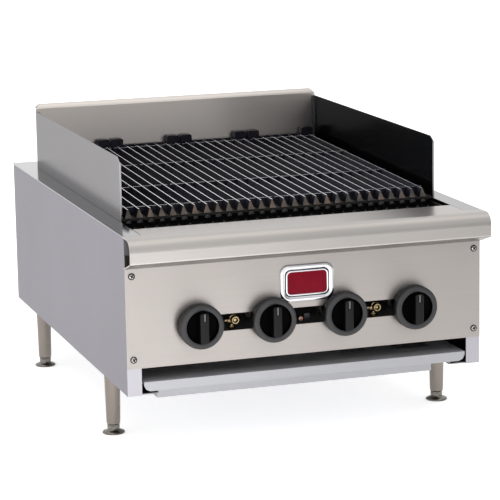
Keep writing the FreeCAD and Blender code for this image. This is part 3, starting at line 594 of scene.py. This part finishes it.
def make_bars(shape):
    """Seven tapered bars with a narrow ground face on top, lightened as a painted highlight, and
    raw cast front ends.
    """
    half = [(BAR_FOOT - 0.5, 0), (BAR_FOOT, 0.6), (BAR_FOOT - 0.3, 2), (1.4, 12), (1.05, 13.7),
            (BAR_GROUND, BAR_HEIGHT)]
    profile = half + [(-x, z) for x, z in reversed(half)]
    for number in range(GRATE_BARS):
        centre = (number - (GRATE_BARS - 1) / 2) * BAR_PITCH
        start = len(shape.faces)
        loft(shape, bar_loops(centre, profile))
        shape.faces.ensure_lookup_table()
        faces = shape.faces[start:]
        # the ground face on top of the first band, with a painted highlight, and the face over the front end
        faces[len(half) - 1].material_index = 1
        faces[2 * len(profile)].material_index = 2


def make_grate_ties(shape):
    """Cross ribs between the bars, a rear cross bar, and two upright lugs at the rear corners."""
    # the cross bar stops just short of the lugs, because faces that coincide break the union
    reach = SECTION_HALF - LUG_WIDTH - 0.2
    block(shape, (-reach, reach), (BAR_LENGTH - 5, BAR_LENGTH - 0.3), (RIB_FOOT, BAR_HEIGHT + 0.2))
    rib = ((-RIB_HALF_GAUGE, RIB_FOOT), (RIB_HALF_GAUGE, RIB_FOOT), (1.2, 12.5),
           (0.6, 13), (-0.6, 13), (-1.2, 12.5))
    for place in RIB_PLACES:
        start = len(shape.faces)
        loft(shape, [[mm(x, place + y, z) for y, z in rib] for x in (-SECTION_HALF, SECTION_HALF)])
        shape.faces.ensure_lookup_table()
        # the face between the two highest points of the outline: ground, with a painted highlight
        shape.faces[start + 3].material_index = 1
    for side in (-1, 1):
        outer = side * SECTION_HALF
        inner = side * (SECTION_HALF - LUG_WIDTH)
        slope = side * 1.2
        outline = ((outer, RIB_FOOT), (outer, LUG_TOP - 3), (outer - 0.8 * slope, LUG_TOP - 0.8),
                   (outer - 2.6 * slope, LUG_TOP), (inner + 2.6 * slope, LUG_TOP),
                   (inner + 0.8 * slope, LUG_TOP - 0.8), (inner, LUG_TOP - 3), (inner, RIB_FOOT))
        spans = (BAR_LENGTH - LUG_DEPTH, BAR_LENGTH - 0.4)
        loft(shape, [[mm(x, y, z) for x, z in outline] for y in spans])


def add_grates():
    """A detailed casting in the place of each grate section."""
    slope = Matrix.Rotation(math.radians(GRATE_SLOPE), 4, "X")
    for number in NUMBERS:
        node = f"grate_{number}"
        low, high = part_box(node)
        corner = Vector(((low[0] + high[0]) / 2, low[1], low[2]))
        bars = bmesh.new()
        make_bars(bars)
        ties = bmesh.new()
        make_grate_ties(ties)
        for shape in (bars, ties):
            bmesh.ops.transform(shape, matrix=Matrix.Translation(corner) @ slope, verts=shape.verts)
        piece = finish_mesh(f"cast_{node}", bars, [CAST_IRON, GROUND_IRON_AND_HIGHLIGHT, IRON_END])
        work_on(piece, ties, "UNION")
        settle(piece, node, "cast_iron", node)


def add_rest_lugs():
    """Rounded enamelled lugs on the face of the front rest, below the bars' front ends."""
    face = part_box("front_grate_rest")[0][1]
    shape = bmesh.new()
    for number in NUMBERS:
        low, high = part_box(f"grate_{number}")
        for bar in range(GRATE_BARS):
            x = (low[0] + high[0]) / 2 + (bar - (GRATE_BARS - 1) / 2) * BAR_PITCH * MM
            centre = Vector((x, face, low[2]))
            scale = REST_LUG_SIZES[(number + bar) % len(REST_LUG_SIZES)]
            large = [(radius * scale, height) for radius, height in REST_LUG_OUTLINE]
            small = [(radius * SMALL_LUG_WIDTH, height * SMALL_LUG_HEIGHT) for radius, height in large]
            loft(shape, turned(large, centre - mm(0, 0, REST_LUG_DROP), -Y_AXIS, 24))
            loft(shape, turned(small, centre + mm(BAR_PITCH / 2, 0, -SMALL_LUG_DROP), -Y_AXIS, 24))
    settle(finish_mesh("rest_lugs", shape, [LUG_ENAMEL]), "cabinet", "cast_iron")


# ---------------------------------------------------------------- knobs

def add_knobs():
    """A dished knob with a grooved grip and a pale pointer on each valve. Its side is painted
    darker and its dish and groove near black, as painted shade.
    """
    bands = len(KNOB_OUTLINE) - 1
    # the side bands and the dish take painted shade; the ring's face between keeps the plastic
    materials = [2] * KNOB_SHADED_SIDE_BANDS
    materials += [0] * (KNOB_SHADED_DISH_FROM - KNOB_SHADED_SIDE_BANDS)
    materials += [1] * (bands - KNOB_SHADED_DISH_FROM)
    for number in NUMBERS:
        node = f"knob_{number}"
        centre = middle_of(node)
        centre.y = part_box(node)[1][1]
        ring = bmesh.new()
        loft(ring, turned(KNOB_OUTLINE, centre, -Y_AXIS, KNOB_SEGMENTS), material=materials)
        piece = finish_mesh(f"dished_{node}", ring, [KNOB_PLASTIC, KNOB_DISH_SHADE, KNOB_GRIP_AND_SIDE_SHADE, POINTER])
        grip = bmesh.new()
        loops = []
        for inset, front in ((-0.6, 10.4), (0.4, 29.5), (0.9, 31.1), (1.7, 31.8), (2.8, GRIP_FRONT)):
            corner = GRIP_CORNER - min(inset, 1.5)
            outline = rounded_rectangle(GRIP_HALF - inset, GRIP_REACH - inset, corner, 6)
            loops.append([centre + mm(u, -front, v) for u, v in outline])
        loft(grip, loops, material=[1, 2, 2, 2])
        work_on(piece, grip, "UNION")
        groove = bmesh.new()
        block(groove, (-POINTER_HALF - 0.9, POINTER_HALF + 0.9), (-GRIP_FRONT - 1, -GRIP_FRONT + 1.4),
              (POINTER_START - 0.8, GRIP_REACH + 3), Matrix.Translation(centre), 1)
        work_on(piece, groove, "DIFFERENCE")
        mark = bmesh.new()
        block(mark, (-POINTER_HALF, POINTER_HALF), (-GRIP_FRONT + 0.3, -GRIP_FRONT + 2.4),
              (POINTER_START, GRIP_REACH - 1.2), Matrix.Translation(centre), 3)
        work_on(piece, mark, "UNION")
        settle(piece, node, "knob_plastic", node)


# ---------------------------------------------------------------- badge and screws

def add_badge():
    """A plain chrome plate with a rolled rim and a blank enamelled field. A painted shadow line runs
    round its outer edge, and another in the groove round the field.
    """
    low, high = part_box("badge_plate")
    centre = middle_of("badge_plate")
    half_width = (high[0] - low[0]) / 2 / MM
    half_height = (high[2] - low[2]) / 2 / MM
    thick = (high[1] - low[1]) / MM
    shape = bmesh.new()
    loops = []
    for inset, front in ((0.9, 0), (0.9, 0.5), (0, 0.7), (0, 1.1), (0.6, 2), (2, 2.7), (4, thick), (6.2, 2.6),
                         (8, 1.6), (8.8, 0.9), (9.6, 0.9), (9.8, 1.9), (10.6, 2.2), (11.4, 2.2), (12, 1.8),
                         (12.6, 1.5), (15, 1.8), (20, 2.1)):
        corner = max(14 - 0.6 * inset, 5)
        outline = rounded_rectangle(half_width - inset, half_height - inset, corner, 10)
        loops.append([Vector((centre.x, high[1], centre.z)) + mm(u, -front, v) for u, v in outline])
    # the band at the panel and the groove round the field take the painted shade
    loft(shape, loops, material=[2] + [0] * 7 + [2] * 2 + [0] * 4 + [1] * 3)
    piece = finish_mesh("chrome_badge", shape, [CHROME, ENAMEL, RECESS_SHADE], BADGE_SHARP_ANGLE)
    settle(piece, "cabinet", "badge_chrome", "badge_plate")


def screw_head(centre, outward, radius, turn, name):
    """A domed head on a shank, with its rim and crossed recess painted near black as shade."""
    shape = bmesh.new()
    outline = ((0, -6), (2.3, -6), (2.3, 0), (radius - 0.2, 0), (radius, 0.3), (radius - 0.1, 0.9),
               (radius - 1.3, 1.2), (radius - 1.5, 1.25), (radius - 1.8, 1.8), (radius - 2.5, 2.3),
               (radius - 3.5, 2.6), (0, 2.7))
    # the shank and the rim take the painted shade, the dome the steel
    loft(shape, turned(outline, centre, outward, 40), material=[1] * 7 + [0] * 4)
    piece = finish_mesh(name, shape, [SCREW_STEEL, RECESS_SHADE])
    across = outward.orthogonal().normalized()
    along = outward.cross(across).normalized()
    for angle in (turn, turn + 90):
        spin = Matrix.Rotation(math.radians(angle), 3, outward)
        first = spin @ across
        second = spin @ along
        arm = bmesh.new()
        loops = []
        for depth, reach, half in ((3, 3.3, 1.05), (1.5, 3, 0.85), (0.6, 1, 0.4)):
            corners = ((-reach, -half), (reach, -half), (reach, half), (-reach, half))
            loops.append([centre + (first * u + second * v + outward * depth) * MM for u, v in corners])
        # the walls of the recess take the painted shade
        loft(arm, loops, material=1)
        work_on(piece, arm, "DIFFERENCE")
    return piece


def add_screws():
    """Four crossed-recess screws on the control panel."""
    low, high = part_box("control_panel_screws")
    panel_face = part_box("control_panel")[0][1]
    spots = [(x, z) for x in (low[0] + SCREW_RADIUS * MM, high[0] - SCREW_RADIUS * MM)
             for z in (low[2] + SCREW_RADIUS * MM, high[2] - SCREW_RADIUS * MM)]
    for number, (x, z) in enumerate(spots, start=1):
        turn = SCREW_FIRST_TURN + SCREW_TURN_STEP * number
        piece = screw_head(Vector((x, panel_face, z)), -Y_AXIS, SCREW_RIM, turn, f"panel_screw_{number}")
        settle(piece, "cabinet", "plated_steel")
    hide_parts("control_panel_screws")


# ---------------------------------------------------------------- fittings behind the slot

def add_pilot_valves():
    """Brass pilot valves: a round needle housing, a hexagon inlet and a fitting at the side."""
    low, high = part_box("pilot_valves")
    for number, x in enumerate((low[0] + VALVE_INSET * MM, high[0] - VALVE_INSET * MM), start=1):
        centre = Vector((x, low[1], high[2] - VALVE_DROP * MM))
        shape = bmesh.new()
        housing = ((0, 17), (7.8, 17), (8.2, 16.5), (8.2, 9), (6.6, 8.4), (6.6, 1), (6.1, 0.2), (4.4, 0.2),
                   (4, 0.8), (4, 5), (2.6, 5.2), (2.6, 3.4), (0, 3.2))
        outline = [(radius, -depth) for radius, depth in housing]
        # the bands of the needle bore take the black pipe finish as painted shade
        loft(shape, turned(outline, centre + mm(3, 0, 1), -Y_AXIS, 48),
             material=[0] * 8 + [1] * 2 + [0] * 2)
        loft(shape, turned(((0, 0), (4.6, 0), (5.2, 0.6), (5.2, 3.4), (4.6, 4), (3.3, 4), (3.3, 9), (0, 9)),
                           centre + mm(-5, 8, 1), -X_AXIS, 6))
        loft(shape, turned(((0, 0), (3.9, 0), (3.9, 26), (0, 26)), centre + mm(0, 13, -33), Z_AXIS, 32))
        loft(shape, turned(((0, 0), (6, 0), (6.6, 0.6), (6.6, 6.4), (6, 7), (0, 7)),
                           centre + mm(0, 13, -16), Z_AXIS, 6))
        piece = finish_mesh(f"pilot_valve_{number}", shape, [BRASS, BLACK_PIPE])
        soften(piece, VALVE_ROUNDING)
        settle(piece, "cabinet", "brass")
    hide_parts("pilot_valves")


def add_tube_clip():
    """The dark clip on the manifold between the middle knobs, with a copper tube's end."""
    low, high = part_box("manifold")
    base = Vector((0, (low[1] + high[1]) / 2, low[2]))
    clip = bmesh.new()
    for half_width, half_height, z, span in ((4.6, 5, 51, (-2.5, -1.3)), (1.5, 8.5, 38, (-2.3, -1.1))):
        outline = rounded_rectangle(half_width, half_height, 1.2, 4)
        loft(clip, [[base + mm(CLIP_X + u, y, z + v) for u, v in outline] for y in span])
    plate = finish_mesh("tube_clip", clip, [PLATED_DARK])
    soften(plate, CLIP_ROUNDING)
    settle(plate, "cabinet", "plated_steel")
    tube = bmesh.new()
    outline = ((0, -4), (2.6, -4), (2.6, 3), (3.4, 3.4), (4, 5), (4, 7), (3.4, 8), (2.2, 8), (2, 6), (0, 6))
    loft(tube, turned(outline, base + mm(*TUBE_PLACE), -Y_AXIS, 32))
    settle(finish_mesh("tube_end", tube, [COPPER]), "cabinet", "brass")


# ---------------------------------------------------------------- legs and feet

def add_legs():
    """Turned legs with a collar on top, and levelling feet with a hexagon above the disc."""
    for corner in ("front_left", "front_right", "rear_left", "rear_right"):
        leg_low, leg_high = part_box(f"{corner}_leg")
        centre = middle_of(f"{corner}_leg")
        centre.z = leg_low[2]
        height = (leg_high[2] - leg_low[2]) / MM
        shape = bmesh.new()
        outline = ((0, 36), (6.06, 36), (6.06, 0.8), (6.8, 0), (10.6, 0), (11.4, 0.8), (11.55, 2), (11.9, 8),
                   (13.2, height - 9), (13.5, height - 4), (13.5, height), (0, height))
        loft(shape, turned(outline, centre, Z_AXIS))
        settle(finish_mesh(f"turned_{corner}_leg", shape, [NICKEL]), "cabinet", "nickel", f"{corner}_leg")
        base = Vector((centre.x, centre.y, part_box(f"{corner}_foot")[0][2]))
        shape = bmesh.new()
        outline = ((0, 0), (18.2, 0), (19, 0.8), (19, 2.2), (18.4, 3.2), (16, 4.4), (12, 5.6),
                   (10.4, 7), (9.8, 9), (9.6, 12.6), (9.2, 13), (6, 13), (6, 49.2), (5.2, 50), (0, 50))
        loft(shape, turned(outline, base, Z_AXIS))
        piece = finish_mesh(f"turned_{corner}_foot", shape, [FOOT_METAL])
        nut = bmesh.new()
        outline = ((0, 8), (9.6, 8), (10.4, 8.8), (10.4, 14.8), (9.6, 15.6), (0, 15.6))
        loft(nut, turned(outline, base, Z_AXIS, 6))
        work_on(piece, nut, "UNION")
        settle(piece, f"{corner}_foot", "nickel", f"{corner}_foot")


def soften_frame():
    """Round the cut edges of the sheet metal by a hair."""
    for name in SOFT_EDGES:
        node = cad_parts[name]
        weld = node.modifiers.new("weld", "WELD")
        weld.merge_threshold = WELD_DISTANCE
        flat = node.modifiers.new("flat", "DECIMATE")
        flat.decimate_type = "DISSOLVE"
        flat.angle_limit = math.radians(1)
        soften(node, SHEET_ROUNDING)


# ---------------------------------------------------------------- studio

def add_floor():
    """A wide plain floor under the feet."""
    shape = bmesh.new()
    bmesh.ops.create_grid(shape, x_segments=4, y_segments=4, size=FLOOR_HALF)
    mesh = bpy.data.meshes.new("floor")
    shape.to_mesh(mesh)
    shape.free()
    floor = add_object("floor", mesh)
    floor.location.z = cad_low.z
    mesh.materials.append(floor_paint())


def add_pool():
    """A soft light on the floor in front, which shows in the front's lower steel."""
    data = bpy.data.lights.new("pool", "AREA")
    data.shape = "RECTANGLE"
    data.size, data.size_y = POOL_SIZE
    data.energy = POOL_POWER
    data.spread = math.radians(POOL_SPREAD)
    lamp = add_object("pool", data)
    lamp.location = POOL_PLACE
    lamp.rotation_mode = "QUATERNION"
    lamp.rotation_quaternion = (Vector(POOL_TARGET) - Vector(POOL_PLACE)).to_track_quat("-Z", "Y")


def add_world():
    """Soft light all round with a bright top. It falls off low down to the right, most in front."""
    world = bpy.data.worlds.new("studio")
    bpy.context.scene.world = world
    world.use_nodes = True
    tree = world.node_tree
    background = tree.nodes["Background"]
    direction = parts_of(tree, tree.nodes.new("ShaderNodeTexCoord").outputs["Generated"])
    to_back = spread(tree, direction["Y"], 0, 1, -0.3, 0.5)
    to_right = spread(tree, direction["X"], 0, 1, 0.22, 0.4)
    upward = spread(tree, direction["Z"], 0, 1, 0.12, 0.4)
    to_top = spread(tree, direction["Z"], 0, 1, 0.8, 0.93)
    front_low = blend_colours(tree, to_right, (1.3,) * 3, (0.3,) * 3)
    back_low = blend_colours(tree, to_right, (1.4,) * 3, (1.05,) * 3)
    front_mid = blend_colours(tree, to_right, (1.15,) * 3, (0.8,) * 3)
    low_sky = blend_colours(tree, to_back, front_low, back_low)
    mid_sky = blend_colours(tree, to_back, front_mid, (1.1,) * 3)
    lower = blend_colours(tree, upward, low_sky, mid_sky)
    whole = blend_colours(tree, to_top, lower, (1.5, 1.48, 1.45))
    tree.links.new(whole, background.inputs["Color"])
    background.inputs["Strength"].default_value = 1.0


def add_camera():
    """The camera: in front, a little to the left and above, and rolled by a degree."""
    azimuth = math.radians(CAMERA_AZIMUTH)
    elevation = math.radians(CAMERA_ELEVATION)
    roll = math.radians(CAMERA_ROLL)
    forward = Vector((-math.sin(azimuth) * math.cos(elevation),
                      math.cos(azimuth) * math.cos(elevation), -math.sin(elevation)))
    level_right = forward.cross(Z_AXIS).normalized()
    level_up = level_right.cross(forward)
    right = math.cos(roll) * level_right + math.sin(roll) * level_up
    up = math.cos(roll) * level_up - math.sin(roll) * level_right
    aim = (cad_low + cad_high) / 2 + AIM_OFFSET
    place = aim - forward * CAMERA_DISTANCE
    data = bpy.data.cameras.new("camera")
    data.lens = CAMERA_LENS
    camera = add_object("camera", data)
    columns = Matrix((right, up, -forward)).transposed().to_4x4()
    camera.matrix_world = Matrix.Translation(place) @ columns
    bpy.context.scene.camera = camera


paint_frame()
soften_frame()
add_grates()
add_rest_lugs()
add_knobs()
add_badge()
add_screws()
add_pilot_valves()
add_tube_clip()
add_legs()
add_floor()
add_world()
add_pool()
add_camera()
bpy.context.scene.view_settings.view_transform = "Standard"
